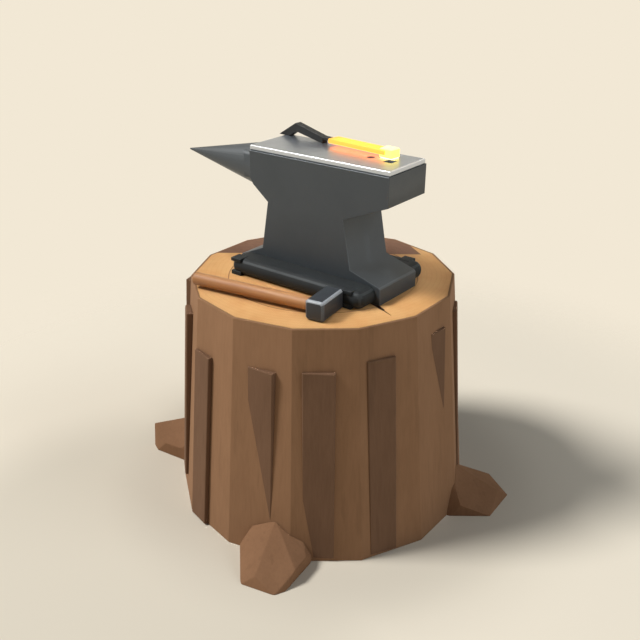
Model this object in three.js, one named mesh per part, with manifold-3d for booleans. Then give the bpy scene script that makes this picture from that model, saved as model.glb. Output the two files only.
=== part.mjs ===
// Anvil stand: a barked log on root buttresses, the anvil held down on its sawn top,
// a hammer lying in front of it and a bent iron bar with a hot end on the anvil face.
// Millimetres, Z up, origin at the middle of the log's underside, horn towards -X.
import * as THREE from 'three';
import { mergeVertices } from 'three/addons/utils/BufferGeometryUtils.js';
import { ConvexGeometry } from 'three/addons/geometries/ConvexGeometry.js';
import Module from 'manifold-3d';

const wasm = await Module();
wasm.setup();

// Fits
const GAP = 0.3;
const SEAT = 0.1;
const deg = Math.PI / 180;

// Log
const SIDES = 14;
const LOG_HEIGHT = 512;
const TOP_RADIUS = 285.5;
const FOOT_RADIUS = 331;
const BARK = 5;
const RIM_CHAMFER = 1.2;
const CHECK = { x: 187, y: -68.4, length: 54, width: 6.5, depth: 14, angle: -24 };

// Bark plates: angle round the log, width, top and bottom heights, stand-off at the top,
// turn about the upright (degrees) and how fast the plate sinks into the flare below
const PLATE_DEPTH = 26;
const PLATE_CHAMFER = 2;
const PLATES = [
  { angle: 2, width: 48, top: 456, bottom: 250, out: 4, turn: -7, sink: 0.033 },
  { angle: 29, width: 60, top: 456, bottom: 60, out: 8.2, turn: 3, sink: 0.0175 },
  { angle: 54, width: 58, top: 462, bottom: 12, out: 9, turn: -4, sink: 0.006 },
  { angle: 83, width: 62, top: 430, bottom: 20, out: 8, turn: 5, sink: 0.009 },
  { angle: 118, width: 56, top: 448, bottom: 70, out: 7, turn: -6, sink: 0.014 },
  { angle: 140, width: 60, top: 420, bottom: 14, out: 8, turn: 4, sink: 0.008 },
  { angle: 166, width: 57, top: 466, bottom: 30, out: 9, turn: -3, sink: 0.01 },
  { angle: 211.5, width: 50, top: 497, bottom: 150, out: 11.4, turn: -9, sink: 0.0195 },
  { angle: 225.2, width: 51, top: 447, bottom: 40, out: 13.4, turn: -3, sink: 0.0175 },
  { angle: 250.7, width: 57, top: 402, bottom: 2, out: 9, turn: -3, sink: 0 },
  { angle: 282.8, width: 61, top: 418, bottom: 60, out: 7, turn: -8.7, sink: 0.0324 },
  { angle: 305.8, width: 65, top: 425, bottom: 6, out: 7, turn: -5, sink: 0.014 },
  { angle: 330.5, width: 62, top: 443, bottom: 4, out: 5.5, turn: -3, sink: 0.006 },
];

// Root buttresses: angle round the log, reach past its foot, rise where they leave the log,
// the crest's outer end (inset from the tip, sideways shift and height) and the near corner
// on the floor (inset from the tip and sideways distance)
const ROOT_HALF_WIDTH = 78;
const ROOT_TIP_HALF_WIDTH = 40;
const ROOT_BURIED = 40;
const ROOTS = [
  { name: 'front', angle: -70.5, reach: 112, rise: 88, crest: [17, -7, 22], corner: [10, 36] },
  { name: 'heel_side', angle: 20, reach: 113, rise: 86, crest: [22, 14, 26], corner: [28, 52] },
  { name: 'back', angle: 109, reach: 104, rise: 84, crest: [18, 6, 30], corner: [18, 44] },
  { name: 'horn_side', angle: 197, reach: 116, rise: 94, crest: [0, 33, 60], corner: [18, 44] },
];

// Anvil, heights above the log's top
const HORN_END_X = -143.5;
const HEEL_END_X = 204;
const FACE_HEIGHT = 274;
const FACE_HALF_WIDTH = 62.7;
const BODY_LEDGE = 4;
const FACE_THICKNESS = 10.5;
const FACE_BEVEL = 1.6;
const BODY_BEVEL = 1.4;
const HEEL_LEDGE = 1.5;
const HEAD_BOTTOM = { horn: 205, heel: 203 };
const HEAD_CHIN = { x: -136, z: 192 };
const WAIST_TOP = { horn: -96, heel: 100.5, hornZ: 160, heelZ: 159.5 };
const WAIST_FOOT = { horn: -114, heel: 118.5, hornZ: 55, heelZ: 58 };
const FEET = { horn: -177, heel: 193, hornZ: 29, heelZ: 37 };
const FEET_NOSE = 4;
const HARDIE = { x: 163, side: 20.6 };
const PRITCHEL = { x: 115, y: 4.5, diameter: 16.4 };

// Horn with its square step
const HORN_TIP_X = -387;
const HORN_AXIS = 217.5;
const HORN_ROOT_RADIUS = 51.2;
const HORN_TIP_RADIUS = 1.6;
const HORN_SEGMENTS = 48;
const STEP = { length: 44, halfWidth: 42, bottom: 190.5, top: 251, bevel: 6 };
const TENON = { length: 26, side: 40 };

// Base flanges along both sides of the feet
const FLANGE = { hornX: -162.5, heelX: 182.5, halfWidth: 118.3, height: 37.8, round: 17.6 };
const TONGUE = { length: 210, depth: 8, height: 11 };

// Hold-downs at the four flange corners
const HOLD_X = 145.5;
const HOLD_Y = 105.2;
const HOLD_SIDE = 26.4;
const CLAMP = { bottom: 30.4, top: 38.6 };
const BEARING_THICKNESS = 9.6;
const HOLD_BEVEL = 1;
const LAG = { diameter: 8, headDiameter: 15, headDepth: 4.2, inLog: 62, point: 9 };

// Hammer
const HAMMER = { x: 129.2, y: -164.2, turn: 8.5 };
const HEAD = { width: 41.2, height: 42.6, length: 84, bevel: 5 };
const HANDLE = { length: 303, neckRadius: 13.2, gripRadius: 13.8, round: 3 };
const EYE = { offset: 8, height: 18.6 };
const HANDLE_TENON = { radius: 10.5, length: 32 };

// Iron on the face
const IRON = { x: 145.6, y: 23.8, turn: -6.5 };
const HOT_END = { length: 30, width: 25, height: 20, bevel: 2 };
const HOT_BAR = { start: -152, end: -2, width: 30, height: 9.4, bottom: 6.2, bevel: 1 };
const SHANK = { side: 16, hornEnd: -306, peak: -255, peakZ: 31, end: -174, endZ: 13 };
const SHANK_TONGUE = { width: 14, height: 5.2, socket: 14 };

// Finishes
const finish = (color, roughness, metalness) => ({ color, roughness, metalness });
const BARK_FINISH = finish(0x8a664a, 0.95, 0);
const PLATE_FINISH = finish(0x6e5140, 0.95, 0);
const ROOT_FINISH = finish(0x8c694c, 0.95, 0);
const WOOD_FINISH = finish(0xe2ad6e, 0.8, 0);
const IRON_FINISH = finish(0x4a4d4e, 0.6, 0.7);
const STEEL_FINISH = finish(0xa3a5a7, 0.35, 0.9);
const HARDWARE_FINISH = finish(0x35383a, 0.55, 0.7);
const HANDLE_FINISH = finish(0xbb8452, 0.6, 0);
const SHANK_FINISH = finish(0x3a3b39, 0.7, 0.6);
const HOT_FINISH = finish(0xffc83c, 0.7, 0);
const WHITE_HOT_FINISH = finish(0xffffb0, 0.7, 0);

// Solid helpers

function solid(geometry) {
  const bare = new THREE.BufferGeometry();
  bare.setAttribute('position', geometry.getAttribute('position'));
  bare.setIndex(geometry.getIndex());
  const merged = mergeVertices(bare, 1e-4);
  const position = merged.getAttribute('position');
  const index = Array.from(merged.getIndex().array);
  const kept = [];
  let volume = 0;
  const a = new THREE.Vector3();
  const b = new THREE.Vector3();
  const c = new THREE.Vector3();
  for (let i = 0; i < index.length; i += 3) {
    const [p, q, r] = [index[i], index[i + 1], index[i + 2]];
    if (p === q || q === r || r === p) continue;
    kept.push(p, q, r);
    a.fromBufferAttribute(position, p);
    b.fromBufferAttribute(position, q);
    c.fromBufferAttribute(position, r);
    volume += a.dot(b.cross(c));
  }
  if (volume < 0) {
    for (let i = 0; i < kept.length; i += 3) {
      const held = kept[i];
      kept[i] = kept[i + 1];
      kept[i + 1] = held;
    }
  }
  const vertProperties = new Float32Array(position.array);
  const triVerts = new Uint32Array(kept);
  return new wasm.Manifold(new wasm.Mesh({ numProp: 3, vertProperties, triVerts }));
}

function cut(base, ...tools) {
  return tools.reduce((left, tool) => left.subtract(tool), base);
}

function join(base, ...others) {
  return others.reduce((left, other) => left.add(other), base);
}

function geometryOf(manifold) {
  const mesh = manifold.getMesh();
  const geometry = new THREE.BufferGeometry();
  const flat = new Float32Array(mesh.vertProperties);
  geometry.setAttribute('position', new THREE.BufferAttribute(flat, 3));
  geometry.setIndex(new THREE.BufferAttribute(new Uint32Array(mesh.triVerts), 1));
  const sharp = geometry.toNonIndexed();
  sharp.computeVertexNormals();
  return sharp;
}

function place(geometry, x, y, z, turn = 0) {
  return geometry.rotateZ(turn * deg).translate(x, y, z);
}

function box(x0, x1, y0, y1, z0, z1) {
  const geometry = new THREE.BoxGeometry(x1 - x0, y1 - y0, z1 - z0);
  return geometry.translate((x0 + x1) / 2, (y0 + y1) / 2, (z0 + z1) / 2);
}

// Upright cylinder or cone from z0 to z1
function post(lowRadius, highRadius, z0, z1, segments = 28) {
  const geometry = new THREE.CylinderGeometry(highRadius, lowRadius, z1 - z0, segments);
  return geometry.rotateX(Math.PI / 2).translate(0, 0, (z0 + z1) / 2);
}

// Solid of revolution about Z from [radius, z] pairs
function turned(pairs, segments) {
  const points = pairs.map(([r, z]) => new THREE.Vector2(r, z));
  return new THREE.LatheGeometry(points, segments).rotateX(Math.PI / 2);
}

function outline(pairs) {
  return new THREE.Shape(pairs.map(([x, y]) => new THREE.Vector2(x, y)));
}

// Plate of a flat outline with chamfered rims, standing from z = 0 to z = height
function slab(shape, height, bevel, steps = 1, curve = 8) {
  const geometry = new THREE.ExtrudeGeometry(shape, {
    depth: height - 2 * bevel,
    bevelEnabled: true,
    bevelThickness: bevel,
    bevelSize: bevel,
    bevelOffset: -bevel,
    bevelSegments: steps,
    curveSegments: curve,
  });
  return geometry.translate(0, 0, bevel);
}

function rectangle(x0, x1, y0, y1) {
  return [[x0, y0], [x1, y0], [x1, y1], [x0, y1]];
}

// Chamfered block centred on the Z axis
function block(length, width, z0, z1, bevel) {
  const pairs = rectangle(-length / 2, length / 2, -width / 2, width / 2);
  return slab(outline(pairs), z1 - z0, bevel).translate(0, 0, z0);
}

// Outline drawn in X and Z, drawn out across Y by the half width to both sides
function drawnAcross(shape, halfWidth, bevel) {
  const geometry = slab(shape, 2 * halfWidth, bevel).rotateX(Math.PI / 2);
  return geometry.translate(0, halfWidth, 0);
}

const group = new THREE.Group();
group.name = 'anvil_stand';

function part(parent, name, manifold, look) {
  const mesh = new THREE.Mesh(geometryOf(manifold), new THREE.MeshStandardMaterial(look));
  mesh.name = name;
  parent.add(mesh);
}

function section(name) {
  const made = new THREE.Group();
  made.name = name;
  group.add(made);
  return made;
}

// Log: wood, bark, bark plates and roots

const flare = (FOOT_RADIUS - TOP_RADIUS) / LOG_HEIGHT;
const flat = Math.cos(Math.PI / SIDES);
const barkInside = BARK / flat;

function logRadius(z) {
  return FOOT_RADIUS - flare * z;
}

// Barked outline of the log, grown sideways and run past both ends, used to trim what leans on it
function logBlank(grow) {
  const past = 30;
  const low = logRadius(-past) + grow / flat;
  const high = logRadius(LOG_HEIGHT + past) + grow / flat;
  return solid(post(low, high, -past, LOG_HEIGHT + past, SIDES));
}

const holds = [
  { name: 'horn_near', x: -HOLD_X, y: -HOLD_Y },
  { name: 'heel_near', x: HOLD_X, y: -HOLD_Y },
  { name: 'horn_far', x: -HOLD_X, y: HOLD_Y },
  { name: 'heel_far', x: HOLD_X, y: HOLD_Y },
];

function lagBlank(hold, grow) {
  const stem = LAG.diameter / 2 + grow;
  const head = LAG.headDiameter / 2 + grow;
  const top = LOG_HEIGHT + CLAMP.top;
  const bottom = LOG_HEIGHT - LAG.inLog - grow;
  const overrun = grow > 0 ? 20 : 0;
  const pairs = [
    [0, bottom],
    [stem, bottom + LAG.point],
    [stem, top - LAG.headDepth - grow],
    [head, top - grow],
    [head, top + overrun],
    [0, top + overrun],
  ];
  if (overrun === 0) pairs.splice(4, 1);
  return solid(place(turned(pairs, 24), hold.x, hold.y, 0));
}

const log = section('log');
const lagHoles = holds.map((hold) => lagBlank(hold, GAP));

const woodTop = TOP_RADIUS - barkInside - GAP;
const woodFoot = FOOT_RADIUS - barkInside - GAP;
const check = outline([
  [0, -CHECK.width / 2],
  [CHECK.length, -CHECK.width / 6],
  [CHECK.length, CHECK.width / 6],
  [0, CHECK.width / 2],
]);
const checkTool = slab(check, 2 * CHECK.depth, 0.1);
place(checkTool, CHECK.x, CHECK.y, LOG_HEIGHT - CHECK.depth, CHECK.angle);
const logWood = solid(post(woodFoot, woodTop, 0, LOG_HEIGHT, SIDES));
part(log, 'log_wood', cut(logWood, solid(checkTool), ...lagHoles), WOOD_FINISH);

const barkRing = turned([
  [FOOT_RADIUS - barkInside, 0],
  [FOOT_RADIUS, 0],
  [TOP_RADIUS + flare * RIM_CHAMFER, LOG_HEIGHT - RIM_CHAMFER],
  [TOP_RADIUS - RIM_CHAMFER, LOG_HEIGHT],
  [TOP_RADIUS - barkInside, LOG_HEIGHT],
  [FOOT_RADIUS - barkInside, 0],
], SIDES);
part(log, 'bark_shell', solid(barkRing), BARK_FINISH);

// Faceted buttress in its own frame: X outwards, Y along the log's foot, Z up
function rootBlank(root, grow) {
  const foot = FOOT_RADIUS * flat;
  const wide = ROOT_HALF_WIDTH + grow;
  const tip = ROOT_TIP_HALF_WIDTH + grow;
  const out = foot + root.reach + grow;
  const rise = root.rise + grow;
  const [crestIn, crestShift, crestTop] = root.crest;
  const [cornerIn, cornerSide] = root.corner;
  const shoulder = foot + 0.18 * root.reach;
  const points = [
    [foot - ROOT_BURIED, -wide, 0],
    [foot - ROOT_BURIED, wide, 0],
    [foot, wide, 0],
    [foot, -wide, 0],
    [out - cornerIn, -cornerSide - grow, 0],
    [out, tip, 0],
    [out - 0.16 * root.reach, 1.45 * tip, 0],
    [out - crestIn, crestShift, crestTop + grow],
    [foot + 0.57 * root.reach, 0.87 * wide, 0.35 * rise],
    [shoulder, 0.98 * wide, 0.36 * rise],
    [shoulder, -0.9 * wide, 0.32 * rise],
    [foot + 0.04 * root.reach, -0.68 * wide, 0.66 * rise],
    [foot - ROOT_BURIED, -0.62 * wide, 0.75 * rise],
    [foot - ROOT_BURIED, 0.55 * wide, 0.75 * rise],
    [foot - 0.08 * root.reach, 0, rise],
    [foot - ROOT_BURIED, 0, rise],
  ];
  const hull = new ConvexGeometry(points.map(([x, y, z]) => new THREE.Vector3(x, y, z)));
  return solid(place(hull, 0, 0, 0, root.angle));
}

const trim = logBlank(GAP);
for (const root of ROOTS) {
  part(log, `root_${root.name}`, cut(rootBlank(root, 0), trim), ROOT_FINISH);
}

const rootTrims = ROOTS.map((root) => rootBlank(root, 2 * GAP));
const facet = 360 / SIDES;
PLATES.forEach((plate, i) => {
  const height = plate.top - plate.bottom;
  const facing = Math.round(plate.angle / facet) * facet;
  const apothem = logRadius(plate.top) * flat;
  const along = -apothem * Math.tan((plate.angle - facing) * deg);
  const lean = Math.atan(flare * flat - plate.sink);
  const pairs = rectangle(-plate.width / 2, plate.width / 2, -height, 0);
  const board = slab(outline(pairs), PLATE_DEPTH, PLATE_CHAMFER).rotateX(Math.PI / 2);
  board.rotateX(lean).rotateZ(plate.turn * deg);
  place(board, along, apothem + plate.out, plate.top);
  place(board, 0, 0, 0, facing - 90);
  const name = `bark_plate_${String(i + 1).padStart(2, '0')}`;
  const floor = solid(box(-600, 600, -600, 600, -60, 0));
  part(log, name, cut(solid(board), trim, floor, ...rootTrims), PLATE_FINISH);
});

// Anvil: body, face plate, horn and base flanges

const anvil = section('anvil');
const ground = LOG_HEIGHT + SEAT;
const bodyTop = FACE_HEIGHT - FACE_THICKNESS - SEAT;
const bodyHalf = FACE_HALF_WIDTH + BODY_LEDGE;

const profile = outline([
  [FEET.horn, 0],
  [FEET.heel, 0],
  [FEET.heel, FEET.heelZ - FEET_NOSE],
  [FEET.heel - FEET_NOSE, FEET.heelZ],
  [WAIST_FOOT.heel, WAIST_FOOT.heelZ],
  [WAIST_TOP.heel, WAIST_TOP.heelZ],
  [HEEL_END_X + HEEL_LEDGE / 2, HEAD_BOTTOM.heel],
  [HEEL_END_X + HEEL_LEDGE, bodyTop],
  [HORN_END_X, bodyTop],
  [HORN_END_X, HEAD_BOTTOM.horn],
  [HEAD_CHIN.x, HEAD_CHIN.z],
  [WAIST_TOP.horn, WAIST_TOP.hornZ],
  [WAIST_FOOT.horn, WAIST_FOOT.hornZ],
  [FEET.horn + FEET_NOSE, FEET.hornZ],
  [FEET.horn, FEET.hornZ - FEET_NOSE],
]);
const bodyBlank = drawnAcross(profile, bodyHalf, BODY_BEVEL).translate(0, 0, ground);

const hardieHalf = HARDIE.side / 2;
const deckTop = LOG_HEIGHT + FACE_HEIGHT;
const hardieTool = solid(box(
  HARDIE.x - hardieHalf, HARDIE.x + hardieHalf,
  -hardieHalf, hardieHalf, LOG_HEIGHT + 100, deckTop + 10,
));
const pritchelPost = post(PRITCHEL.diameter / 2, PRITCHEL.diameter / 2, 0, FACE_HEIGHT);
const pritchelFoot = LOG_HEIGHT + WAIST_TOP.heelZ - 8;
const pritchelTool = solid(place(pritchelPost, PRITCHEL.x, PRITCHEL.y, pritchelFoot));

function tenonBlank(grow) {
  const half = TENON.side / 2 + grow;
  const middle = LOG_HEIGHT + HORN_AXIS;
  const x1 = HORN_END_X + TENON.length + grow;
  return solid(box(HORN_END_X - 20, x1, -half, half, middle - half, middle + half));
}

// Tongue of one flange; side is -1 for the near flange and 1 for the far one
function tongueBlank(side, grow) {
  const middle = LOG_HEIGHT + FLANGE.height / 2;
  const half = TONGUE.height / 2 + grow;
  const centre = (FEET.horn + FEET.heel) / 2;
  const reach = TONGUE.length / 2 + grow;
  const inner = bodyHalf - TONGUE.depth - grow;
  const outer = bodyHalf + 10;
  const [y0, y1] = side < 0 ? [-outer, -inner] : [inner, outer];
  return solid(box(centre - reach, centre + reach, y0, y1, middle - half, middle + half));
}

const mortise = tenonBlank(GAP);
const grooves = [tongueBlank(-1, GAP), tongueBlank(1, GAP)];
const body = cut(solid(bodyBlank), hardieTool, pritchelTool, mortise, ...grooves);
part(anvil, 'anvil_body', body, IRON_FINISH);

const deck = outline(rectangle(HORN_END_X, HEEL_END_X, -FACE_HALF_WIDTH, FACE_HALF_WIDTH));
const deckPlate = slab(deck, FACE_THICKNESS, FACE_BEVEL);
deckPlate.translate(0, 0, LOG_HEIGHT + FACE_HEIGHT - FACE_THICKNESS);
part(anvil, 'face_plate', cut(solid(deckPlate), hardieTool, pritchelTool), STEEL_FINISH);

const hornLength = HORN_END_X - GAP - HORN_TIP_X;
const cone = turned([
  [0, 0],
  [HORN_ROOT_RADIUS, 0],
  [HORN_TIP_RADIUS, hornLength - HORN_TIP_RADIUS],
  [0, hornLength],
], HORN_SEGMENTS);
cone.rotateY(-Math.PI / 2).translate(HORN_END_X - GAP, 0, LOG_HEIGHT + HORN_AXIS);
const stepPairs = rectangle(-STEP.length, 0, STEP.bottom, STEP.top);
const step = drawnAcross(outline(stepPairs), STEP.halfWidth, STEP.bevel);
step.translate(HORN_END_X - GAP, 0, LOG_HEIGHT);
part(anvil, 'anvil_horn', join(solid(cone), solid(step), tenonBlank(0)), IRON_FINISH);

function holdBox(hold, grow, z0, z1) {
  const half = HOLD_SIDE / 2 + grow;
  const { x, y } = hold;
  return solid(box(x - half, x + half, y - half, y + half, z0, z1));
}

// Rounded pad with full-round rims and ball corners, cut along the side of the feet
function flangeBlank(side) {
  const r = FLANGE.round;
  const corner = r + 0.8;
  const shape = new THREE.Shape();
  const [x0, x1] = [FLANGE.hornX, FLANGE.heelX];
  const y = FLANGE.halfWidth;
  shape.absarc(x1 - corner, y - corner, corner, 0, Math.PI / 2);
  shape.absarc(x0 + corner, y - corner, corner, Math.PI / 2, Math.PI);
  shape.absarc(x0 + corner, corner - y, corner, Math.PI, 1.5 * Math.PI);
  shape.absarc(x1 - corner, corner - y, corner, 1.5 * Math.PI, 2 * Math.PI);
  const pad = slab(shape, FLANGE.height, r, 5, 5).translate(0, 0, ground);
  const inner = bodyHalf + GAP;
  const [y0, y1] = side < 0 ? [-inner, 400] : [-400, inner];
  return cut(solid(pad), solid(box(-600, 600, y0, y1, 0, 2000)));
}

for (const side of [-1, 1]) {
  const mine = holds.filter((hold) => Math.sign(hold.y) === side);
  const pockets = mine.flatMap((hold) => [
    holdBox(hold, GAP, LOG_HEIGHT + CLAMP.bottom - SEAT, LOG_HEIGHT + 60),
    holdBox(hold, GAP, LOG_HEIGHT - 20, LOG_HEIGHT + BEARING_THICKNESS + 2 * SEAT),
    lagBlank(hold, GAP),
  ]);
  const name = side < 0 ? 'base_flange_near' : 'base_flange_far';
  const whole = join(flangeBlank(side), tongueBlank(side, 0));
  part(anvil, name, cut(whole, ...pockets), IRON_FINISH);
}

// Hold-downs

const holdDowns = section('hold_downs');
holds.forEach((hold, i) => {
  const hole = lagHoles[i];
  const upper = block(HOLD_SIDE, HOLD_SIDE, CLAMP.bottom, CLAMP.top, HOLD_BEVEL);
  const lower = block(HOLD_SIDE, HOLD_SIDE, SEAT, SEAT + BEARING_THICKNESS, HOLD_BEVEL);
  const clamp = solid(place(upper, hold.x, hold.y, LOG_HEIGHT));
  const bearing = solid(place(lower, hold.x, hold.y, LOG_HEIGHT));
  part(holdDowns, `clamp_plate_${hold.name}`, cut(clamp, hole), HARDWARE_FINISH);
  part(holdDowns, `bearing_plate_${hold.name}`, cut(bearing, hole), HARDWARE_FINISH);
  part(holdDowns, `lag_spike_${hold.name}`, lagBlank(hold, 0), HARDWARE_FINISH);
});

// Hammer, lying on its side with the handle towards the horn

const hammer = section('hammer');

function onHammer(geometry) {
  return solid(place(geometry, HAMMER.x, HAMMER.y, LOG_HEIGHT + SEAT, HAMMER.turn));
}

const w = HEAD.width / 2;
const h = HEAD.height;
const c = HEAD.bevel;
const headShape = outline([
  [-w + c, 0], [w - c, 0], [w, c], [w, h - c],
  [w - c, h], [-w + c, h], [-w, h - c], [-w, c],
]);
const headBlank = drawnAcross(headShape, HEAD.length / 2, c);

// Handle turned about X: the tenon end at the head, the grip end towards -X
function handleBlank(grow) {
  const r = HANDLE_TENON.radius + grow;
  const root = -w + HANDLE_TENON.length + grow;
  const face = -w - GAP - grow;
  const end = -HANDLE.length;
  const grip = HANDLE.gripRadius;
  const pairs = [
    [0, root],
    [r, root],
    [r, face],
    [HANDLE.neckRadius, face],
    [grip, end + 60],
    [grip, end + HANDLE.round],
    [grip - HANDLE.round, end],
    [0, end],
  ];
  const stick = turned(pairs, 32).rotateY(Math.PI / 2);
  return stick.translate(0, -EYE.offset, EYE.height);
}

part(hammer, 'hammer_head', cut(onHammer(headBlank), onHammer(handleBlank(GAP))), IRON_FINISH);
part(hammer, 'hammer_handle', onHammer(handleBlank(0)), HANDLE_FINISH);

// Iron: bent shank, hot bar and upset hot end, resting on the face

const iron = section('iron');

function onIron(geometry) {
  return solid(place(geometry, IRON.x, IRON.y, deckTop + SEAT, IRON.turn));
}

const hotBottom = HOT_BAR.bottom;
const hotTop = hotBottom + HOT_BAR.height;
const hotMiddle = (hotBottom + hotTop) / 2;

function hotBarBlank(grow) {
  const long = HOT_BAR.end - HOT_BAR.start + 2 * grow;
  const z0 = hotBottom - grow;
  const z1 = hotTop + grow;
  const bar = block(long, HOT_BAR.width + 2 * grow, z0, z1, HOT_BAR.bevel);
  return bar.translate((HOT_BAR.start + HOT_BAR.end) / 2, 0, 0);
}

function shankTongue(grow) {
  const half = SHANK_TONGUE.width / 2 + grow;
  const up = SHANK_TONGUE.height / 2 + grow;
  const x1 = HOT_BAR.start + SHANK_TONGUE.socket + grow;
  return box(SHANK.end - 6, x1, -half, half, hotMiddle - up, hotMiddle + up);
}

const endBlock = block(HOT_END.length, HOT_END.width, 0, HOT_END.height, HOT_END.bevel);
part(iron, 'iron_hot_end', cut(onIron(endBlock), onIron(hotBarBlank(GAP))), WHITE_HOT_FINISH);
part(iron, 'iron_hot_bar', cut(onIron(hotBarBlank(0)), onIron(shankTongue(GAP))), HOT_FINISH);

// Underside of the bend, square to each arm's thickness
const heelRun = SHANK.end - SHANK.peak;
const heelSlope = (SHANK.peakZ - SHANK.endZ) / heelRun;
const hornRun = SHANK.peak - SHANK.hornEnd;
const hornSlope = SHANK.peakZ / hornRun;
const heelThick = SHANK.side * Math.hypot(1, heelSlope);
const hornThick = SHANK.side * Math.hypot(1, hornSlope);
const underPeak = SHANK.peakZ - (heelThick + hornThick) / 2;
const toe = 5;
const shankShape = outline([
  [SHANK.hornEnd, 0],
  [SHANK.hornEnd + hornThick / hornSlope, 0],
  [SHANK.peak, underPeak],
  [SHANK.end - 5, 0],
  [SHANK.end - 2, 0],
  [SHANK.end, SHANK.endZ],
  [SHANK.peak, SHANK.peakZ],
  [SHANK.hornEnd + toe / hornSlope, toe],
]);
const shankBlank = onIron(drawnAcross(shankShape, SHANK.side / 2, 0.6));
part(iron, 'iron_shank', join(shankBlank, onIron(shankTongue(0))), SHANK_FINISH);

export default group;
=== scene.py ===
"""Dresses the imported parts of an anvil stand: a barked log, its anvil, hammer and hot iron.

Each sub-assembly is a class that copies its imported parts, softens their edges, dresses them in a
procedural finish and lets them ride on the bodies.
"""

from __future__ import annotations

import logging
import math
from dataclasses import dataclass, field
from enum import Enum
from typing import Any, ClassVar, Mapping, NamedTuple, Sequence, Union

import bmesh
import bpy
from mathutils import Color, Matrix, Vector


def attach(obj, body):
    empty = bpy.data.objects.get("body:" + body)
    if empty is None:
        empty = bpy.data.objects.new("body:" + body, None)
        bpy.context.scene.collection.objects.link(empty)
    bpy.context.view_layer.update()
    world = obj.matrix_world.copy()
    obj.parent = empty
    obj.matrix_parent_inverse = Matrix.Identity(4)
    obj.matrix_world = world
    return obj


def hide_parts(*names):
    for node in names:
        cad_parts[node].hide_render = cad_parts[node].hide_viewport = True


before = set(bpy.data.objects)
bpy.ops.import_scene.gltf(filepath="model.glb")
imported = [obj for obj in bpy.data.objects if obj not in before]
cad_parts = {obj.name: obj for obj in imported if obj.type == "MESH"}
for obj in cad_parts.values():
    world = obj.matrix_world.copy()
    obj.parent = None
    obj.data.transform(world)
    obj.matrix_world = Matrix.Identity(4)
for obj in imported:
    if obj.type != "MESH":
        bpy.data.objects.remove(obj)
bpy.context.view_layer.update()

LOG = logging.getLogger("anvil_stand")

Colour = tuple[float, float, float]
Point = tuple[float, float, float]
Span = tuple[float, float]

WHITE: Colour = (1.0, 1.0, 1.0)
BLACK: Colour = (0.0, 0.0, 0.0)
ORIGIN: Point = (0.0, 0.0, 0.0)
EVEN: Point = (1.0, 1.0, 1.0)
SCREEN_WHITE = 255
FULL_TURN = 2 * math.pi
HALF = 0.5

# Places of a Mix node's colour sockets, whose names it uses more than once.
MIX_FIRST = 6
MIX_SECOND = 7
MIX_RESULT = 2


class Body(str, Enum):
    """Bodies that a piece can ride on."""

    STAND = "stand"
    HAMMER = "hammer"
    IRON = "iron"


class Axis(int, Enum):
    """Axis of a part's own coordinates."""

    X = 0
    Y = 1
    Z = 2


class Tree(str, Enum):
    """What a node tree colours, by the node that closes it."""

    MATERIAL = "ShaderNodeOutputMaterial"
    WORLD = "ShaderNodeOutputWorld"


class Noise(NamedTuple):
    """Soft noise by its scale, how much detail it has and how rough that detail is."""

    scale: float
    detail: float = 3.0
    rough: float = 0.55


class Relief(NamedTuple):
    """Bump by its depth in metres and the share of it that shows."""

    depth: float
    strength: float


@dataclass(frozen=True)
class Box:
    """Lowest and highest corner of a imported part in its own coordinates."""

    low: Point
    high: Point

    @classmethod
    def of(cls, node: str) -> "Box":
        """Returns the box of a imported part."""
        sides = list(zip(*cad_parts[node].bound_box))
        return cls(tuple(map(min, sides)), tuple(map(max, sides)))


def tone(red: int, green: int, blue: int) -> Colour:
    """Returns a screen colour of 0 to 255 as the linear colour that Blender stores."""
    screen = Color([value / SCREEN_WHITE for value in (red, green, blue)])
    return tuple(screen.from_srgb_to_scene_linear())


def mixed(first: Colour, second: Colour, share: float) -> Colour:
    """Returns the colour that lies the given share of the way from first to second."""
    return tuple(a + (b - a) * share for a, b in zip(first, second))


@dataclass(frozen=True)
class Signal:
    """A value socket of a shader whose arithmetic adds Math nodes."""

    shader: "Shader"
    socket: bpy.types.NodeSocket

    def _math(self, operation: str, *values: Union["Signal", float]) -> "Signal":
        """Returns the result of a Math node with the given inputs in order."""
        inputs = dict(enumerate(values))
        return self.shader.node("ShaderNodeMath", {"operation": operation}, inputs)

    def __add__(self, other: Union["Signal", float]) -> "Signal":
        """Returns self + other."""
        return self._math("ADD", self, other)

    __radd__ = __add__

    def __sub__(self, other: Union["Signal", float]) -> "Signal":
        """Returns self - other."""
        return self._math("SUBTRACT", self, other)

    def __rsub__(self, other: float) -> "Signal":
        """Returns other - self."""
        return self._math("SUBTRACT", other, self)

    def __mul__(self, other: Union["Signal", float]) -> "Signal":
        """Returns self * other."""
        return self._math("MULTIPLY", self, other)

    __rmul__ = __mul__

    def __pow__(self, other: float) -> "Signal":
        """Returns self to a power."""
        return self._math("POWER", self, other)

    def __abs__(self) -> "Signal":
        """Returns the size of the value."""
        return self._math("ABSOLUTE", self)

    def sine(self) -> "Signal":
        """Returns the sine of the value."""
        return self._math("SINE", self)

    def highest(self, other: Union["Signal", float]) -> "Signal":
        """Returns the larger of the two values."""
        return self._math("MAXIMUM", self, other)

    def lowest(self, other: Union["Signal", float]) -> "Signal":
        """Returns the smaller of the two values."""
        return self._math("MINIMUM", self, other)

    def between(self, low: float, high: float) -> "Signal":
        """Returns 0 below low, 1 above high and a smooth rise in the middle.

        Args:
            low: Where the rise starts.
            high: Where it ends; it may be below low for a fall.

        Returns:
            The smoothed step.
        """
        settings = {"interpolation_type": "SMOOTHSTEP"}
        inputs = {"Value": self, "From Min": low, "From Max": high}
        return self.shader.node("ShaderNodeMapRange", settings, inputs)


SocketValue = Union[Signal, float, Sequence[float]]


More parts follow.
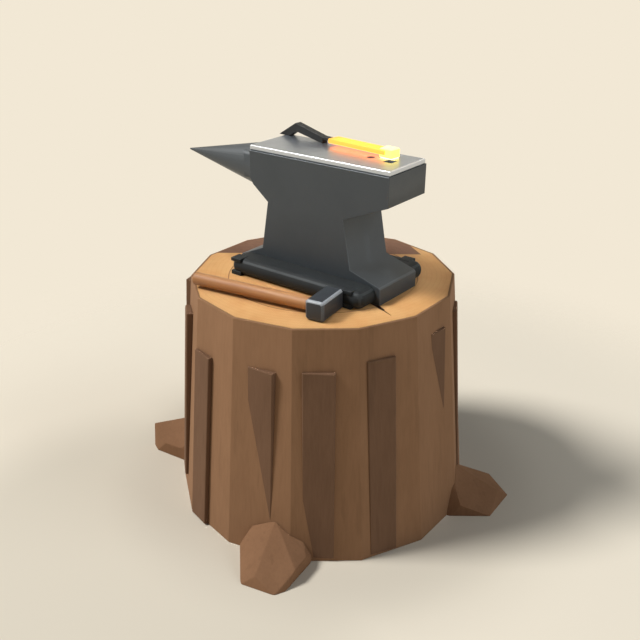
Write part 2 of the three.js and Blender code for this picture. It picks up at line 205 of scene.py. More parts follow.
def apart(x: Signal, y: Signal, centre: Point = ORIGIN) -> Signal:
    """Returns the level distance of a place from a centre."""
    aside, ahead = x - centre[Axis.X], y - centre[Axis.Y]
    return (aside * aside + ahead * ahead) ** HALF


def left_of(x: Signal, y: Signal, start: Sequence[float], end: Sequence[float]) -> Signal:
    """Returns the distance of a place to the left of the line from start to end."""
    run = (Vector(end) - Vector(start)).normalized()
    return (y - start[Axis.Y]) * run.x - (x - start[Axis.X]) * run.y


class Shader:
    """Node tree of one material or of the world, built from expressions."""

    def __init__(self, name: str, kind: Tree = Tree.MATERIAL) -> None:
        """Starts an empty material or world.

        Args:
            name: Its name.
            kind: Which of the two it is.
        """
        owners = bpy.data.materials if kind is Tree.MATERIAL else bpy.data.worlds
        self.owner = owners.new(name)
        self.owner.use_nodes = True
        self.tree = self.owner.node_tree
        self.tree.nodes.clear()
        self.output = self.tree.nodes.new(kind.value)

    def node(
        self,
        kind: str,
        settings: Mapping[str, Any] | None = None,
        inputs: Mapping[Union[str, int], SocketValue] | None = None,
        result: Union[str, int] = 0,
    ) -> Signal:
        """Adds any node.

        Args:
            kind: The node's type.
            settings: Its properties.
            inputs: Values or links of its sockets by name or place.
            result: The output to return.

        Returns:
            The chosen output.
        """
        made = self.tree.nodes.new(kind)
        for key, value in (settings or {}).items():
            setattr(made, key, value)
        for key, value in (inputs or {}).items():
            self.feed(made.inputs[key], value)
        return Signal(self, made.outputs[result])

    def feed(self, socket: bpy.types.NodeSocket, value: SocketValue) -> None:
        """Links a socket to a signal or sets it to a plain value.

        Args:
            socket: The socket.
            value: A signal, a number or a colour.
        """
        if isinstance(value, Signal):
            self.tree.links.new(value.socket, socket)
        elif socket.type == "RGBA":
            socket.default_value = (*value, 1.0)
        else:
            socket.default_value = value

    def place(self) -> Signal:
        """Returns the point in the part's own coordinates."""
        return self.node("ShaderNodeTexCoord", result="Object")

    def facing(self) -> Signal:
        """Returns the flat direction of the face."""
        return self.node("ShaderNodeNewGeometry", result="True Normal")

    def axis(self, vector: Signal, axis: Axis) -> Signal:
        """Returns one component of a vector."""
        return self.node("ShaderNodeSeparateXYZ", inputs={0: vector}, result=axis.value)

    def stretched(self, vector: Signal, scale: Point, turn: float = 0.0) -> Signal:
        """Returns coordinates scaled along each axis after a turn about Z in degrees."""
        inputs = {"Vector": vector, "Scale": scale, "Rotation": (0.0, 0.0, math.radians(turn))}
        return self.node("ShaderNodeMapping", None, inputs)

    def noise(self, vector: Signal, kind: Noise) -> Signal:
        """Returns soft noise between 0 and 1."""
        settings = zip(("Scale", "Detail", "Roughness"), kind)
        return self.node("ShaderNodeTexNoise", None, {"Vector": vector, **dict(settings)})

    def cells(self, vector: Signal, scale: float) -> Signal:
        """Returns the distance to the nearest of scattered points."""
        return self.node("ShaderNodeTexVoronoi", None, {"Vector": vector, "Scale": scale})

    def blend(
        self,
        share: Union[Signal, float],
        first: Union[Signal, Colour],
        second: Union[Signal, Colour],
    ) -> Signal:
        """Mixes two colours.

        Args:
            share: How much of the second colour shows.
            first: The colour at share 0.
            second: The colour at share 1.

        Returns:
            The mixed colour.
        """
        settings = {"data_type": "RGBA", "blend_type": "MIX", "clamp_factor": True}
        inputs = {0: share, MIX_FIRST: first, MIX_SECOND: second}
        return self.node("ShaderNodeMix", settings, inputs, MIX_RESULT)

    def layered(self, share: Signal, first: Signal, second: Signal) -> Signal:
        """Returns the first shader where share is 0 and the second where it is 1."""
        return self.node("ShaderNodeMixShader", None, {0: share, 1: first, 2: second})

    def bump(self, height: Signal, relief: Relief) -> Signal:
        """Returns normals bent by a height of 0 to 1."""
        inputs = {"Height": height, "Distance": relief.depth, "Strength": relief.strength}
        return self.node("ShaderNodeBump", None, inputs)

    def looked_at(self) -> Signal:
        """Returns 1 for rays from the camera and from what metal and glass mirror.

        Returns:
            The mask.
        """
        camera = self.node("ShaderNodeLightPath", result="Is Camera Ray")
        glossy = self.node("ShaderNodeLightPath", result="Is Glossy Ray")
        through = self.node("ShaderNodeLightPath", result="Is Transmission Ray")
        return camera.highest(glossy).highest(through)

    def surface(self, inputs: Mapping[str, SocketValue]) -> bpy.types.Material:
        """Closes a material with a Principled shader that has the given inputs."""
        return self.close(self.node("ShaderNodeBsdfPrincipled", None, inputs))

    def close(self, shaded: Signal) -> Union[bpy.types.Material, bpy.types.World]:
        """Ends the tree with a shader and returns the material or world."""
        self.feed(self.output.inputs["Surface"], shaded)
        return self.owner


@dataclass(frozen=True)
class SawnTop:
    """End grain of the log with faint rings, saw marks, a drying crack with painted shade on its
    walls and edges, and an uncut side.
    """

    pale: Colour = tone(207, 160, 104)
    warm: Colour = tone(200, 149, 92)
    ring: Colour = tone(186, 135, 80)
    line: Colour = tone(120, 81, 47)
    # Painted shade of the drying crack, on its walls and along its edges.
    crack: Colour = tone(54, 35, 23)
    uncut: Colour = tone(119, 86, 66)
    log: Box = field(default_factory=lambda: Box.of("log_wood"))
    # Rings round the pith, which wander a little.
    pith: Point = (-0.012, 0.018, 0.0)
    ring_gap: float = 0.0105
    ring_drift: float = 0.012
    ring_share: float = 0.16
    late_span: Span = (0.72, 1.0)
    drift_noise: Noise = Noise(9.0, 2.0)
    cloud_noise: Noise = Noise(14.0)
    cloud_span: Span = (0.35, 0.72)
    pore_noise: Noise = Noise(520.0, 2.0, 0.7)
    pore_stretch: Point = (1.0, 1.0, 0.2)
    pore_span: Span = (0.62, 0.8)
    pore_share: float = 0.12
    # One dark ring line, which fades out towards the heel.
    line_radius: float = 0.2035
    line_span: Span = (0.0018, 0.00072)
    line_drift: float = 0.004
    line_ends: Span = (0.215, 0.17)
    line_share: float = 0.8
    # Painted shade along the drying crack's edges, and on its walls.
    split_start: Point = (0.1623, -0.0574, 0.0)
    split_end: Point = (0.2117, -0.0794, 0.0)
    split_half_width: float = 0.0062
    split_taper: float = 0.05
    split_opening: Span = (0.0, 0.006)
    split_closing: Span = (0.002, -0.004)
    wall_top: Span = (-0.0006, -0.003)
    wall_foot: Span = (-0.112, -0.062)
    # The side that the saw left, beyond two straight edges.
    chord_start: Point = (-0.276, -0.046, 0.0)
    chord_end: Point = (0.104, 0.2335, 0.0)
    tip_end: Point = (0.052, 0.2687, 0.0)
    sharp: Span = (-0.0008, 0.0008)
    uncut_noise: Noise = Noise(60.0, 4.0)
    uncut_stretch: Point = (1.0, 3.0, 1.0)
    uncut_turn: float = 36.0
    uncut_span: Span = (0.3, 0.75)
    uncut_shade: float = 0.22
    # Saw marks and relief.
    saw_gap: float = 0.0042
    saw_way: Point = (0.34, 0.94, 0.0)
    saw_drift: float = 0.02
    saw_relief: float = 0.25
    pore_relief: float = 0.5
    late_relief: float = 0.35
    relief: Relief = Relief(0.0005, 0.35)
    rough: float = 0.72
    rough_spread: float = 0.16
    gloss: float = 0.3

    def material(self) -> bpy.types.Material:
        """Builds the sawn wood.

        Returns:
            The material.
        """
        s = Shader("sawn_wood")
        place = s.place()
        x = s.axis(place, Axis.X)
        y = s.axis(place, Axis.Y)
        drift = s.noise(place, self.drift_noise) - HALF
        radius = apart(x, y, self.pith) + drift * self.ring_drift
        rings = (radius * (FULL_TURN / self.ring_gap)).sine() * HALF + HALF
        late = rings.between(*self.late_span)
        cloud = s.noise(place, self.cloud_noise)
        pores = s.noise(s.stretched(place, self.pore_stretch), self.pore_noise)
        ground = s.blend(cloud.between(*self.cloud_span), self.pale, self.warm)
        grained = late * self.ring_share + pores.between(*self.pore_span) * self.pore_share
        ringed = s.blend(grained, ground, self.ring)
        lined = s.blend(self._ring_line(x, y, drift), ringed, self.line)
        # Painted shade on the crack's walls and in a band along its edges.
        crack_shade_mask = self._inside(s.axis(place, Axis.Z)).highest(self._crack_edge_shade(x, y))
        crack_shaded = s.blend(crack_shade_mask, lined, self.crack)
        coloured = s.blend(self._uncut_side(x, y), crack_shaded, self._bark(s, place))
        sawn = x * self.saw_way[Axis.X] + y * self.saw_way[Axis.Y] + drift * self.saw_drift
        marks = (sawn * (FULL_TURN / self.saw_gap)).sine()
        height = marks * self.saw_relief + pores * self.pore_relief + late * self.late_relief
        return s.surface({
            "Base Color": coloured,
            "Roughness": self.rough + cloud * self.rough_spread,
            "Specular IOR Level": self.gloss,
            "Normal": s.bump(height, self.relief),
        })

    def _ring_line(self, x: Signal, y: Signal, drift: Signal) -> Signal:
        """Returns how much the dark ring line shows."""
        aside = abs(apart(x, y) + drift * self.line_drift - self.line_radius)
        return aside.between(*self.line_span) * x.between(*self.line_ends) * self.line_share

    def _inside(self, z: Signal) -> Signal:
        """Returns 1 on the walls of the drying crack, just under the top, where shade is painted.
        """
        below = z - self.log.high[Axis.Z]
        return below.between(*self.wall_top) * below.between(*self.wall_foot)

    def _crack_edge_shade(self, x: Signal, y: Signal) -> Signal:
        """Marks a band of painted shade along the drying crack's edges, which narrows outwards.

        Args:
            x: Place along the anvil.
            y: Place across it.

        Returns:
            1 on the edges and 0 elsewhere.
        """
        start, end = Vector(self.split_start), Vector(self.split_end)
        run = end - start
        square = start + Vector((run.y, -run.x, 0.0))
        along = left_of(x, y, start, square)
        across = abs(left_of(x, y, start, end))
        half_width = self.split_half_width - along * self.split_taper
        ends = along.between(*self.split_opening)
        ends *= (along - run.length).between(*self.split_closing)
        return (half_width - across).between(*self.sharp) * ends

    def _bark(self, s: Shader, place: Signal) -> Signal:
        """Colours the side that the saw left.

        Args:
            s: The shader.
            place: The point on the log.

        Returns:
            The colour.
        """
        streaks = s.stretched(place, self.uncut_stretch, self.uncut_turn)
        grain = s.noise(streaks, self.uncut_noise).between(*self.uncut_span)
        return s.blend(grain, self.uncut, mixed(self.uncut, BLACK, self.uncut_shade))

    def _uncut_side(self, x: Signal, y: Signal) -> Signal:
        """Marks the side beyond the saw's chord.

        Args:
            x: Place along the anvil.
            y: Place across it.

        Returns:
            1 beyond the chord and 0 on the pale wood.
        """
        along = left_of(x, y, self.chord_start, self.chord_end)
        closing = left_of(x, y, self.chord_end, self.tip_end)
        return along.between(*self.sharp) * closing.between(*self.sharp)


@dataclass(frozen=True)
class Bark:
    """Brown bark with upright fibres and shallow furrows."""

    name: str
    light: Colour
    dark: Colour
    fibre: float = 1.0
    upright: Point = (1.0, 1.0, 0.07)
    tall: Point = (1.0, 1.0, 0.35)
    wander_noise: Noise = Noise(16.0)
    wander_span: Span = (0.3, 0.75)
    wander_share: float = 0.4
    fibre_noise: Noise = Noise(210.0, 4.0, 0.62)
    fibre_span: Span = (0.35, 0.75)
    fibre_share: float = 0.3
    fibre_relief: float = 0.45
    furrow_noise: Noise = Noise(46.0)
    furrow_span: Span = (0.3, 0.6)
    furrow_relief: float = 0.4
    crack_span: Span = (0.40, 0.33)
    crack_share: float = 0.14
    crack_shade: float = 0.45
    speck_noise: Noise = Noise(620.0, 2.0, 0.7)
    speck_relief: float = 0.15
    relief: Relief = Relief(0.0016, 0.3)
    rough: float = 0.82
    rough_spread: float = 0.14
    gloss: float = 0.22

    def material(self) -> bpy.types.Material:
        """Builds the bark.

        Returns:
            The material.
        """
        s = Shader(self.name)
        place = s.place()
        upright = s.stretched(place, self.upright)
        wander = s.noise(s.stretched(place, self.tall), self.wander_noise)
        fibres = s.noise(upright, self.fibre_noise)
        furrow = s.noise(upright, self.furrow_noise)
        speck = s.noise(place, self.speck_noise)
        shade = wander.between(*self.wander_span) * self.wander_share
        shade += fibres.between(*self.fibre_span) * self.fibre_share
        toned = s.blend(shade, self.light, self.dark)
        crack = furrow.between(*self.crack_span) * self.crack_share
        cracked = s.blend(crack, toned, mixed(self.dark, BLACK, self.crack_shade))
        height = fibres * self.fibre_relief + speck * self.speck_relief
        height += furrow.between(*self.furrow_span) * self.furrow_relief
        shown = self.relief._replace(strength=self.relief.strength * self.fibre)
        return s.surface({
            "Base Color": cracked,
            "Roughness": self.rough + wander * self.rough_spread,
            "Specular IOR Level": self.gloss,
            "Normal": s.bump(height, shown),
        })


@dataclass(frozen=True)
class ForgedIron:
    """Dark iron with fire scale, and lighter chamfers: a painted highlight, partly rubbed metal.
    """

    name: str
    ground: Colour
    scale: Colour
    wear_and_highlight: Colour
    turn: float = 0.0
    wear_and_highlight_share: float = 0.35
    rough: float = 0.42
    gloss: float = 0.5
    upper: float = 0.0
    mottle_noise: Noise = Noise(11.0)
    mottle_span: Span = (0.3, 0.72)
    mottle_share: float = 0.6
    mottle_relief: float = 0.35
    grit_noise: Noise = Noise(430.0, 3.0, 0.65)
    grit_span: Span = (0.4, 0.8)
    grit_share: float = 0.25
    grit_relief: float = 0.45
    pit_scale: float = 150.0
    pit_span: Span = (0.30, 0.12)
    pit_relief: float = 0.35
    wear_and_highlight_least: float = 0.55
    wear_and_highlight_grit: float = 0.6
    rise_span: Span = (0.2, 0.6)
    lean_span: Span = (0.86, 0.76)
    relief: Relief = Relief(0.0009, 0.24)
    rough_spread: float = 0.18
    rough_worn: float = 0.12

    def material(self) -> bpy.types.Material:
        """Builds the iron.

        Returns:
            The material.
        """
        s = Shader(self.name)
        place = s.place()
        mottle = s.noise(place, self.mottle_noise)
        grit = s.noise(place, self.grit_noise)
        pit = s.cells(place, self.pit_scale).between(*self.pit_span)
        shade = mottle.between(*self.mottle_span) * self.mottle_share
        shade += grit.between(*self.grit_span) * self.grit_share
        toned = s.blend(shade, self.ground, self.scale)
        # Chamfers painted lighter: a painted highlight, partly rubbed metal.
        edge = self._chamfers(s) * (self.wear_and_highlight_least + grit * self.wear_and_highlight_grit)
        coloured = s.blend(edge * self.wear_and_highlight_share, toned, self.wear_and_highlight)
        height = mottle * self.mottle_relief + grit * self.grit_relief - pit * self.pit_relief
        return s.surface({
            "Base Color": coloured,
            "Roughness": self.rough + mottle * self.rough_spread - edge * self.rough_worn,
            "Specular IOR Level": self.gloss,
            "Normal": s.bump(height, self.relief),
        })

    def _chamfers(self, s: Shader) -> Signal:
        """Marks faces that lean between the part's main directions.

        Args:
            s: The shader.

        Returns:
            1 on the chamfers, where a highlight is painted, less on those that don't face up by
            the share `upper`.
        """
        lean = s.stretched(s.facing(), EVEN, self.turn)
        sides = abs(s.axis(lean, Axis.X)).highest(abs(s.axis(lean, Axis.Y)))
        upward = s.axis(lean, Axis.Z)
        flat = sides.highest(abs(upward))
        kept = upward.between(*self.rise_span) * self.upper + (1 - self.upper)
        return flat.between(*self.lean_span) * kept


@dataclass(frozen=True)
class GroundFace:
    """Ground steel of the anvil's face with long scratches and pale edges: a painted highlight,
    partly rubbed steel.
    """

    steel: Colour = tone(157, 164, 174)
    dull: Colour = tone(144, 151, 160)
    rim_highlight_and_wear: Colour = tone(236, 240, 246)
    plate: Box = field(default_factory=lambda: Box.of("face_plate"))
    cloud_noise: Noise = Noise(24.0)
    cloud_span: Span = (0.35, 0.7)
    cloud_share: float = 0.5
    # Scratches along and across the plate.
    long_noise: Noise = Noise(900.0, 2.0, 0.6)
    long_stretch: Point = (0.04, 1.0, 1.0)
    long_turn: float = 3.0
    long_span: Span = (0.45, 0.7)
    long_share: float = 0.3
    long_relief: float = 0.4
    cross_noise: Noise = Noise(620.0, 2.0, 0.6)
    cross_stretch: Point = (1.0, 0.05, 1.0)
    cross_turn: float = -24.0
    cross_relief: float = 0.25
    dent_scale: float = 90.0
    dent_span: Span = (0.22, 0.10)
    dent_relief: float = 0.3
    # Rim painted pale as a highlight, partly rubbed steel: the chamfers and a thin line beside
    # them.
    chamfer_rise: Span = (-0.3, 0.3)
    chamfer_fall: Span = (0.95, 0.85)
    level_rise: Span = (0.8, 0.95)
    line_span: Span = (0.0030, 0.0016)
    line_share: float = 0.8
    rim_least: float = 0.7
    rim_marks: float = 0.5
    relief: Relief = Relief(0.0004, 0.25)
    rough: float = 0.27
    rough_spread: float = 0.10
    rough_rim: float = 0.06
    metal: float = 0.85
    gloss: float = 0.5

    def material(self) -> bpy.types.Material:
        """Builds the face steel.

        Returns:
            The material.
        """
        s = Shader("face_steel")
        place = s.place()
        cloud = s.noise(place, self.cloud_noise)
        lengthwise = s.stretched(place, self.long_stretch, self.long_turn)
        long_marks = s.noise(lengthwise, self.long_noise)
        crosswise = s.stretched(place, self.cross_stretch, self.cross_turn)
        cross_marks = s.noise(crosswise, self.cross_noise)
        dents = s.cells(place, self.dent_scale).between(*self.dent_span)
        shade = cloud.between(*self.cloud_span) * self.cloud_share
        shade += long_marks.between(*self.long_span) * self.long_share
        toned = s.blend(shade, self.steel, self.dull)
        # The rim is painted pale as a highlight, partly rubbed steel.
        rim = self._rim(s, place) * (self.rim_least + long_marks * self.rim_marks)
        height = long_marks * self.long_relief + cross_marks * self.cross_relief
        height -= dents * self.dent_relief
        return s.surface({
            "Base Color": s.blend(rim, toned, self.rim_highlight_and_wear),
            "Roughness": self.rough + cloud * self.rough_spread - rim * self.rough_rim,
            "Metallic": self.metal,
            "Specular IOR Level": self.gloss,
            "Normal": s.bump(height, self.relief),
        })

    def _rim(self, s: Shader, place: Signal) -> Signal:
        """Marks the plate's chamfers and a thin line beside them.

        Args:
            s: The shader.
            place: The point on the plate.

        Returns:
            1 on the rim and 0 elsewhere.
        """
        inside = self._from_side(s, place, Axis.X).lowest(self._from_side(s, place, Axis.Y))
        upward = s.axis(s.facing(), Axis.Z)
        chamfer = upward.between(*self.chamfer_rise) * upward.between(*self.chamfer_fall)
        line = inside.between(*self.line_span) * upward.between(*self.level_rise)
        return chamfer.highest(line * self.line_share)

    def _from_side(self, s: Shader, place: Signal, axis: Axis) -> Signal:
        """Returns the distance to the nearer of the plate's two sides along an axis."""
        low, high = self.plate.low[axis], self.plate.high[axis]
        return (high - low) / 2 - abs(s.axis(place, axis) - (low + high) / 2)


@dataclass(frozen=True)
class HandleWood:
    """Oiled hardwood with grain along the handle."""

    light: Colour = tone(170, 121, 76)
    dark: Colour = tone(142, 91, 50)
    turn: float = 0.0
    grain_noise: Noise = Noise(260.0, 4.0, 0.6)
    grain_stretch: Point = (0.05, 1.0, 1.0)
    grain_span: Span = (0.4, 0.75)
    grain_share: float = 0.3
    grain_relief: float = 0.6
    band_noise: Noise = Noise(60.0)
    band_stretch: Point = (0.08, 1.0, 1.0)
    band_span: Span = (0.35, 0.68)
    band_share: float = 0.65
    band_relief: float = 0.4
    relief: Relief = Relief(0.0006, 0.3)
    rough: float = 0.46
    rough_spread: float = 0.16
    gloss: float = 0.4

    def material(self) -> bpy.types.Material:
        """Builds the handle wood.

        Returns:
            The material.
        """
        s = Shader("handle_wood")
        along = s.stretched(s.place(), EVEN, self.turn)
        grain = s.noise(s.stretched(along, self.grain_stretch), self.grain_noise)
        bands = s.noise(s.stretched(along, self.band_stretch), self.band_noise)
        shade = bands.between(*self.band_span) * self.band_share
        shade += grain.between(*self.grain_span) * self.grain_share
        height = grain * self.grain_relief + bands * self.band_relief
        return s.surface({
            "Base Color": s.blend(shade, self.light, self.dark),
            "Roughness": self.rough + grain * self.rough_spread,
            "Specular IOR Level": self.gloss,
            "Normal": s.bump(height, self.relief),
        })


@dataclass(frozen=True)
class HotMetal:
    """Iron that glows, with thin cooling scale, sides painted a deeper colour as shade, and a
    strong glow from its underside.
    """

    name: str
    glow: Colour
    # Deeper colour of the cooling flakes, and of the sides, where it is painted shade.
    edge: Colour
    under: Colour
    # Span of X over which the glow turns to the cooler colour.
    cooling: Span | None = None
    cool: Colour = tone(255, 198, 60)
    cold: Colour = (0.25, 0.12, 0.05)
    strength: float = 9.0
    flake_noise: Noise = Noise(130.0, 4.0)
    flake_span: Span = (0.5, 0.75)
    flake_share: float = 0.35
    level_span: Span = (0.45, 0.8)
    down_span: Span = (-0.3, -0.7)
    relief: Relief = Relief(0.0006, 0.3)
    rough: float = 0.6
    rough_spread: float = 0.2

    def material(self) -> bpy.types.Material:
        """Builds the glowing iron.

        Returns:
            The material.
        """
        s = Shader(self.name)
        place = s.place()
        flake = s.noise(place, self.flake_noise)
        upward = s.axis(s.facing(), Axis.Z)
        level = upward.between(*self.level_span)
        # The sides take the deeper colour as painted shade; on the top only the flakes do.
        flakes_and_side_shade = flake.between(*self.flake_span) * self.flake_share * level + (1 - level)
        face = s.blend(flakes_and_side_shade, self._seen(self.glow), self._seen(self.edge))
        if self.cooling is not None:
            along = s.axis(place, Axis.X).between(*self.cooling)
            face = s.blend(along, face, self._seen(self.cool))
        return s.surface({
            "Base Color": self.cold,
            "Roughness": self.rough + flake * self.rough_spread,
            "Emission Color": s.blend(upward.between(*self.down_span), face, self.under),
            "Emission Strength": self.strength,
            "Normal": s.bump(flake, self.relief),
        })

    def _seen(self, colour: Colour) -> Colour:
        """Returns the emission that shows as the given colour at the metal's strength."""
        return tuple(value / self.strength for value in colour)


@dataclass
class Piece:
    """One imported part, copied with softened edges so that light catches them."""

    node: str
    body: Body
    slot: str
    soften: float = 0.0
    steps: int = 2
    smooth_angle: float = 50.0
    keep_corners: float = 20.0
    flat_angle: float = 0.6
    merge_distance: float = 1e-6
    round_profile: float = 0.5
    even_weight: int = 60

    def build(self, material: bpy.types.Material) -> bpy.types.Object:
        """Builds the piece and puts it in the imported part's place.

        Args:
            material: The finish.

        Returns:
            The new object.
        """
        mesh = self._softened()
        made = bpy.data.objects.new("look_" + self.node, mesh)
        bpy.context.scene.collection.objects.link(made)
        mesh.materials.append(material)
        weighted = made.modifiers.new("even_normals", "WEIGHTED_NORMAL")
        weighted.keep_sharp = True
        weighted.weight = self.even_weight
        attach(made, self.body.value)
        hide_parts(self.node)
        LOG.info("%s: %d faces on %s", made.name, len(mesh.polygons), self.body.value)
        return made

    def _softened(self) -> bpy.types.Mesh:
        """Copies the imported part's mesh with whole flat faces and rounded edges.

        Returns:
            The new mesh.
        """
        mesh = bpy.data.meshes.new(self.node + "_dressed")
        shape = bmesh.new()
        shape.from_mesh(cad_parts[self.node].data)
        bmesh.ops.remove_doubles(shape, verts=shape.verts, dist=self.merge_distance)
        flat = math.radians(self.flat_angle)
        bmesh.ops.dissolve_limit(shape, angle_limit=flat, verts=shape.verts, edges=shape.edges)
        if self.soften > 0:
            self._round_edges(shape)
        self._mark_smooth(shape)
        shape.to_mesh(mesh)
        shape.free()
        return mesh

    def _round_edges(self, shape: bmesh.types.BMesh) -> None:
        """Rounds the part's corners over by the piece's softening.

        Args:
            shape: The mesh to change.
        """
        limit = math.radians(self.keep_corners)
        edges = [e for e in shape.edges if e.is_manifold and e.calc_face_angle(0.0) > limit]
        bmesh.ops.bevel(
            shape, geom=edges, offset=self.soften, offset_type="OFFSET", segments=self.steps,
            profile=self.round_profile, affect="EDGES", clamp_overlap=True,
        )

    def _mark_smooth(self, shape: bmesh.types.BMesh) -> None:
        """Shades faces smoothly and keeps corners above the smoothing angle sharp.

        Args:
            shape: The mesh to change.
        """
        limit = math.radians(self.smooth_angle)
        for face in shape.faces:
            face.smooth = True
        for edge in shape.edges:
            edge.smooth = edge.is_manifold and edge.calc_face_angle(math.pi) < limit


@dataclass
class Log:
    """Sawn log, bark, loose bark plates and root buttresses."""

    plate_prefix: str = "bark_plate_"
    roots: Sequence[str] = ("root_front", "root_heel_side", "root_back", "root_horn_side")
    shell_corner: float = 0.0014
    shell_steps: int = 3
    plate_corner: float = 0.0022
    root_corner: float = 0.002
    top: SawnTop = field(default_factory=SawnTop)
    bark: Bark = Bark("bark", tone(143, 107, 78), tone(127, 94, 67))
    plate: Bark = Bark("bark_plate", tone(114, 85, 64), tone(97, 71, 52), fibre=1.1)
    root: Bark = Bark("root_bark", tone(136, 100, 72), tone(118, 85, 60), fibre=0.9)

    def build(self) -> None:
        """Builds and dresses every piece of the log."""
        Piece("log_wood", Body.STAND, "sawn_wood").build(self.top.material())
        shell = Piece("bark_shell", Body.STAND, "bark", self.shell_corner, self.shell_steps)
        shell.build(self.bark.material())
        loose = self.plate.material()
        for name in sorted(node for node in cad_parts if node.startswith(self.plate_prefix)):
            Piece(name, Body.STAND, "bark_plate", self.plate_corner).build(loose)
        rooted = self.root.material()
        for name in self.roots:
            Piece(name, Body.STAND, "root_bark", self.root_corner).build(rooted)


@dataclass
class Anvil:
    """Anvil body, horn and face plate, and the flanges and fixings that hold it down."""

    iron: ForgedIron = ForgedIron(
        "anvil_iron", tone(55, 61, 66), tone(49, 55, 60), tone(100, 106, 111)
    )
    black: ForgedIron = ForgedIron(
        "hold_down_iron", tone(32, 36, 38), tone(26, 29, 31), tone(74, 79, 82),
        wear_and_highlight_share=0.3, rough=0.6, gloss=0.24,
    )
    face: GroundFace = field(default_factory=GroundFace)
    castings: Sequence[str] = ("anvil_body", "anvil_horn")
    flanges: Sequence[str] = ("base_flange_near", "base_flange_far")
    corners: Sequence[str] = ("horn_near", "heel_near", "horn_far", "heel_far")
    holds: Sequence[str] = ("clamp_plate", "bearing_plate", "lag_spike")

    def build(self) -> None:
        """Builds and dresses the anvil."""
        cast = self.iron.material()
        for name in self.castings:
            Piece(name, Body.STAND, "anvil_iron").build(cast)
        Piece("face_plate", Body.STAND, "face_steel").build(self.face.material())
        black = self.black.material()
        for name in self._held_down():
            Piece(name, Body.STAND, "hold_down_iron").build(black)

    def _held_down(self) -> list[str]:
        """Returns the flanges and the plates and spikes at their corners."""
        fixings = [f"{kind}_{corner}" for corner in self.corners for kind in self.holds]
        return [*self.flanges, *fixings]


@dataclass
class Hammer:
    """Hammer that lies askew in front of the anvil."""

    # Degrees that take the finishes back to the hammer's own axes.
    turn: ClassVar[float] = -8.5
    wood: HandleWood = HandleWood(turn=turn)
    # Its upward chamfers are painted nearly white: a painted highlight, partly rubbed steel.
    iron: ForgedIron = ForgedIron(
        "hammer_iron", tone(38, 43, 49), tone(33, 37, 43), tone(178, 183, 188),
        turn=turn, wear_and_highlight_share=0.8, upper=0.8,
    )

    def build(self) -> None:
        """Builds and dresses the head and the handle."""
        Piece("hammer_head", Body.HAMMER, "hammer_iron").build(self.iron.material())
        Piece("hammer_handle", Body.HAMMER, "handle_wood").build(self.wood.material())


@dataclass
class HotIron:
    """Bent bar on the face: black shank, yellow hot bar and white hot end."""

    shank_corner: float = 0.0008
    shank: ForgedIron = ForgedIron(
        "dark_iron", tone(37, 38, 38), tone(30, 31, 31), tone(80, 81, 80),
        turn=6.5, wear_and_highlight_share=0.5, rough=0.6, gloss=0.35,
    )
    bar: HotMetal = HotMetal(
        "yellow_hot_iron", (1.7, 0.78, 0.03), (1.6, 0.60, 0.04), (0.62, 0.125, 0.04),
        cooling=(0.02, -0.006),
    )
    end: HotMetal = HotMetal(
        "white_hot_iron", (2.2, 1.9, 0.66), (2.2, 1.7, 0.26), (0.62, 0.48, 0.15)
    )

    def build(self) -> None:
        """Builds and dresses the bar."""
        shank = Piece("iron_shank", Body.IRON, "dark_iron", self.shank_corner)
        shank.build(self.shank.material())
        Piece("iron_hot_bar", Body.IRON, "yellow_hot_iron").build(self.bar.material())
        Piece("iron_hot_end", Body.IRON, "white_hot_iron").build(self.end.material())


@dataclass(frozen=True)
class Lamp:
    """Soft round lamp that looks at the middle of the stand; angles are in degrees."""

    name: str
    azimuth: float
    height: float
    distance: float
    size: float
    power: float
    colour: Colour = WHITE
    spread: float = 180.0
    aim: ClassVar[Point] = (0.0, 0.0, 0.42)

    def build(self) -> bpy.types.Object:
        """Builds the lamp and places it by its direction and height angle.

        Returns:
            The lamp.
        """
        data = bpy.data.lights.new(self.name, "AREA")
        data.shape = "DISK"
        data.size = self.size
        data.energy = self.power
        data.color = self.colour
        data.spread = math.radians(self.spread)
        made = bpy.data.objects.new(self.name, data)
        turn = math.radians(self.azimuth)
        lift = math.radians(self.height)
        flat = math.cos(lift)
        way = Vector((flat * math.cos(turn), flat * math.sin(turn), math.sin(lift)))
        made.location = Vector(self.aim) + way * self.distance
        made.rotation_euler = way.to_track_quat("Z", "Y").to_euler()
        bpy.context.scene.collection.objects.link(made)
        return made


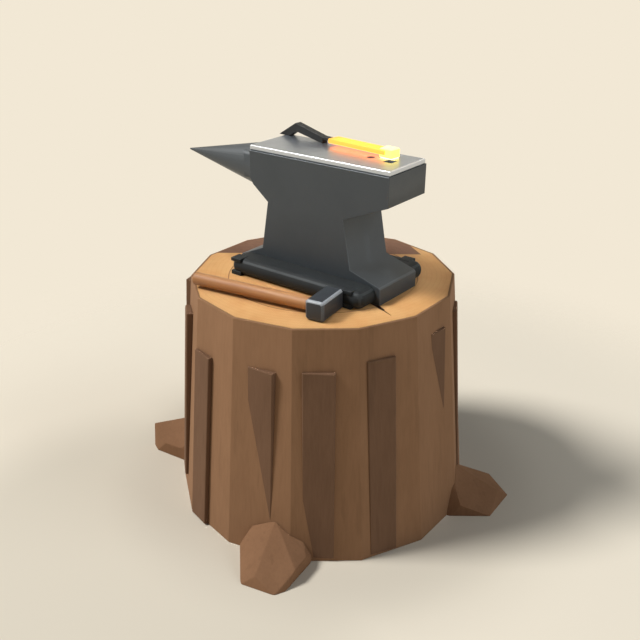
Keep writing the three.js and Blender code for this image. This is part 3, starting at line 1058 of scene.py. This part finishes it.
@dataclass
class Studio:
    """Pale floor, plain light and the camera at the photograph's view."""

    eye: Point = (1.0726, -1.4002, 1.2187)
    target: Point = (-0.0052, -0.0040, 0.4025)
    lens: float = 49.26
    sensor_width: float = 36.0
    farthest: float = 60.0
    backdrop: Colour = tone(242, 232, 213)
    world_level: float = 0.125
    # Floor paint: painted shade near the log and a painted shadow round a spot in front of it,
    # then pale and clear.
    floor_radius: float = 9.0
    floor_sides: int = 96
    floor_soft_shade: Colour = tone(218, 209, 191)
    floor_far: Colour = tone(236, 226, 207)
    floor_deep_shade: Colour = tone(209, 200, 183)
    shadow_spot: Point = (-0.12, -0.42, 0.0)
    pale_span: Span = (0.38, 0.66)
    close_span: Span = (0.54, 0.38)
    clear_span: Span = (0.80, 1.45)
    lamps: Sequence[Lamp] = (
        Lamp("key", azimuth=222.0, height=50.0, distance=12.0, size=3.4, power=1480.0),
        Lamp(
            "fill", azimuth=18.0, height=30.0, distance=6.0, size=4.0, power=105.0,
            colour=(0.92, 1.0, 1.08),
        ),
        Lamp("top", azimuth=0.0, height=90.0, distance=2.0, size=0.56, power=0.25, spread=4.5),
    )

    def build(self) -> None:
        """Builds the floor, lamps, world and camera."""
        self._floor()
        self._world()
        for lamp in self.lamps:
            lamp.build()
        self._camera()
        bpy.context.scene.view_settings.view_transform = "Standard"

    def _floor(self) -> None:
        """Adds a wide round floor that fades into the backdrop."""
        mesh = bpy.data.meshes.new("floor")
        shape = bmesh.new()
        bmesh.ops.create_circle(
            shape, cap_ends=True, segments=self.floor_sides, radius=self.floor_radius
        )
        shape.to_mesh(mesh)
        shape.free()
        made = bpy.data.objects.new("floor", mesh)
        bpy.context.scene.collection.objects.link(made)
        mesh.materials.append(self._floor_finish())

    def _floor_finish(self) -> bpy.types.Material:
        """Builds the floor's paint.

        Returns:
            The material.
        """
        s = Shader("floor_paint")
        place = s.place()
        x = s.axis(place, Axis.X)
        y = s.axis(place, Axis.Y)
        away = apart(x, y)
        # Painted shade round the log and a painted shadow round the spot in front of it.
        pale = away.lowest(apart(x, y, self.shadow_spot)).between(*self.pale_span)
        paint = s.blend(pale, self.floor_soft_shade, self.floor_far)
        paint = s.blend(away.between(*self.close_span), paint, self.floor_deep_shade)
        matte = s.node("ShaderNodeBsdfDiffuse", None, {"Color": paint})
        clear = s.node("ShaderNodeBsdfTransparent")
        fade = away.between(*self.clear_span) * s.looked_at()
        return s.close(s.layered(fade, matte, clear))

    def _world(self) -> None:
        """Sets an even pale world that the camera and metal see as the backdrop."""
        s = Shader("studio", Tree.WORLD)
        dim = {"Color": WHITE, "Strength": self.world_level}
        lit = s.node("ShaderNodeBackground", None, dim)
        seen = s.node("ShaderNodeBackground", None, {"Color": self.backdrop})
        bpy.context.scene.world = s.close(s.layered(s.looked_at(), lit, seen))

    def _camera(self) -> None:
        """Adds the camera."""
        data = bpy.data.cameras.new("camera")
        data.sensor_fit = "HORIZONTAL"
        data.sensor_width = self.sensor_width
        data.lens = self.lens
        data.clip_end = self.farthest
        made = bpy.data.objects.new("camera", data)
        made.location = self.eye
        aim = Vector(self.target) - Vector(self.eye)
        made.rotation_euler = aim.to_track_quat("-Z", "Y").to_euler()
        bpy.context.scene.collection.objects.link(made)
        bpy.context.scene.camera = made


def main() -> None:
    """Builds every sub-assembly and the studio in order."""
    logging.basicConfig(level=logging.INFO, format="%(name)s: %(message)s")
    for assembly in (Log(), Anvil(), Hammer(), HotIron(), Studio()):
        LOG.info("building %s", type(assembly).__name__)
        assembly.build()


if __name__ == "__main__":
    main()
